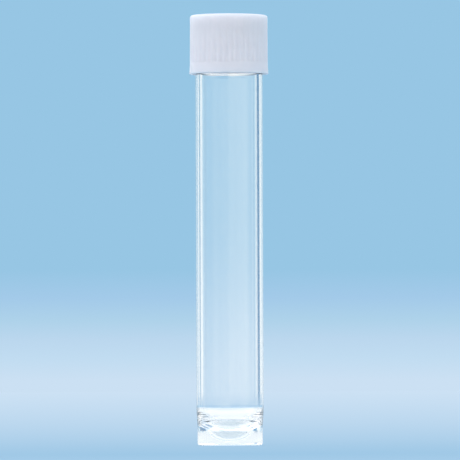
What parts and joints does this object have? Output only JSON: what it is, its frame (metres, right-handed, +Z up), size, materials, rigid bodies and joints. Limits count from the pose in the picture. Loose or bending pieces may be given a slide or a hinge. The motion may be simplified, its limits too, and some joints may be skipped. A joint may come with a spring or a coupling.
{
  "type": "screw-cap test tube",
  "caption": "Clear round-bottomed plastic test tube on a standing skirt, closed by a ribbed screw cap with a sealing disc.",
  "frame": {"origin": "on the tube's axis, in the plane of the skirt's foot", "axes": "+Z up along the axis, from the foot to the cap; X and Y are alike"},
  "size_m": [0.0188, 0.0188, 0.102],
  "materials": {
    "clear_plastic": "clear, polished",
    "cap_plastic": "satin, slightly translucent",
    "disc_plastic": "soft"
  },
  "bodies": {
    "tube": {"tube": "clear_plastic"},
    "disc": {"sealing_disc": "disc_plastic"},
    "cap": {"cap": "cap_plastic"}
  },
  "joints": [
    {"name": "cap_lift", "type": "slide", "parent": "tube", "child": "disc", "axis": [0, 0, 1], "range_m": [0, 0.018]},
    {"name": "cap_turn", "type": "hinge", "parent": "disc", "child": "cap", "pos_m": [0, 0, 0.1], "axis": [0, 0, 1], "range_deg": [0, 2160]}
  ],
  "couplings": [
    {"joint": "cap_lift", "follows": "cap_turn", "m_per_rad": 0.00047746}
  ]
}
